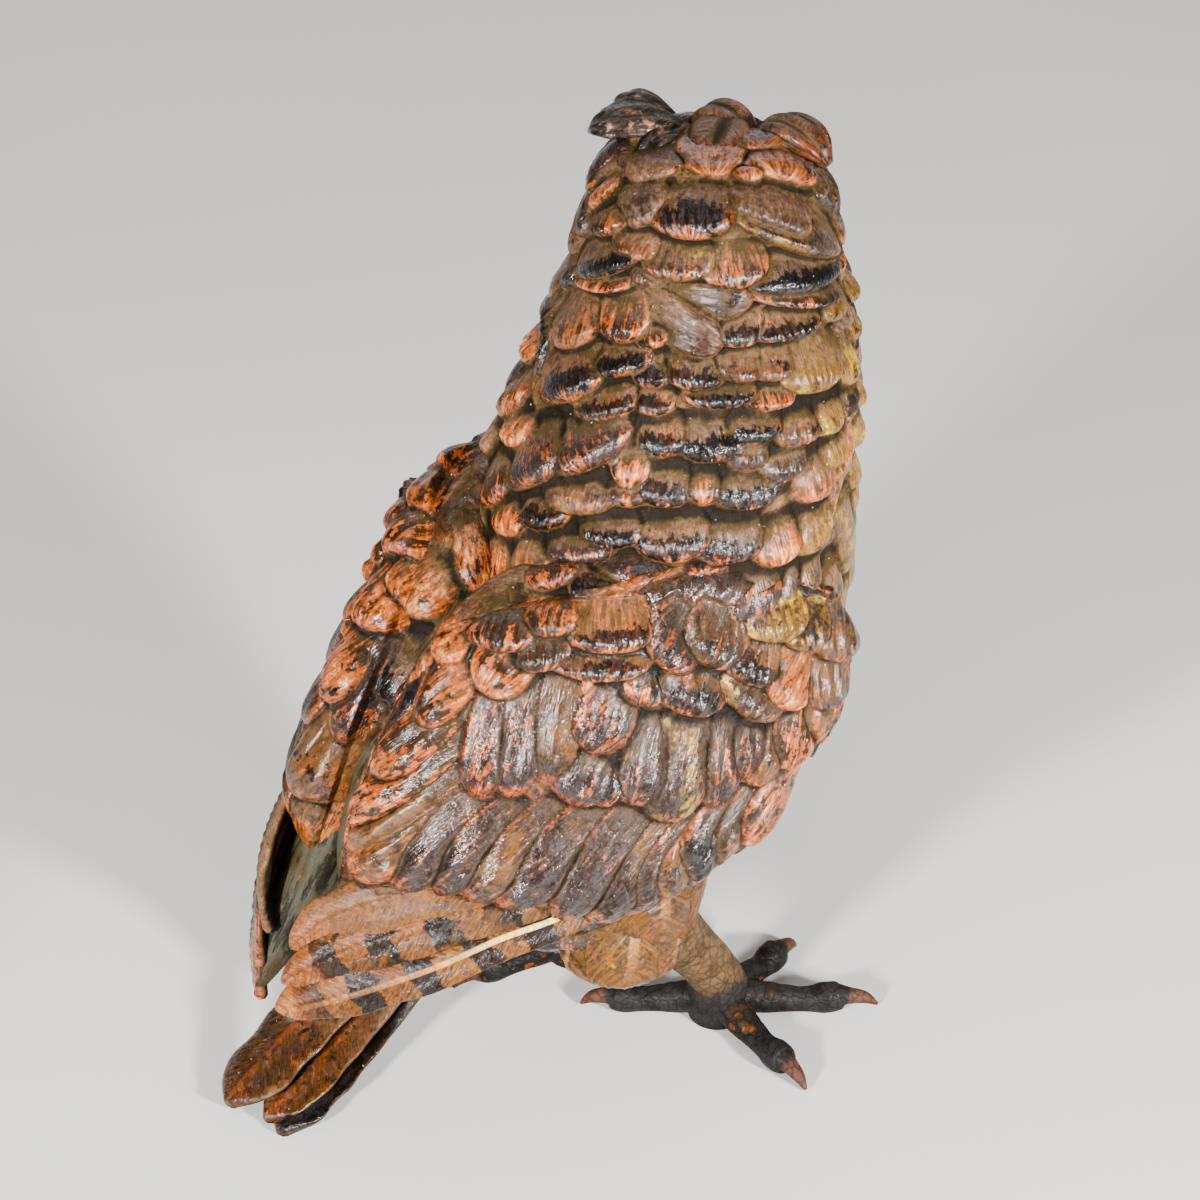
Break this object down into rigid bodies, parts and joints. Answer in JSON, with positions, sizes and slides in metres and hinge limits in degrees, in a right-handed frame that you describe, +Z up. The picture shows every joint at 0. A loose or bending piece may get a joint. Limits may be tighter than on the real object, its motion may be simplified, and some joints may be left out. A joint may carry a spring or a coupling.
{
  "type": "owl figurine",
  "caption": "Standing owl figure with folded wings, carved feathers, spread toes and head turned to its left; stands on feet and tail tip.",
  "frame": {"origin": "on the plane that the soles and tail tips stand on, under the middle of the figure's outline seen from above", "axes": "+Z up, the breast faces -Y and the tail points to +Y, the owl's left wing is at +X and its right wing at -X"},
  "size_m": [0.1221, 0.1841, 0.2639],
  "materials": {
    "painted_bronze": "worn cold paint over bronze, brown and orange with near-black bars and greenish dirt in the hollows"
  },
  "bodies": {
    "root": {"owl": "painted_bronze"}
  },
  "joints": []
}
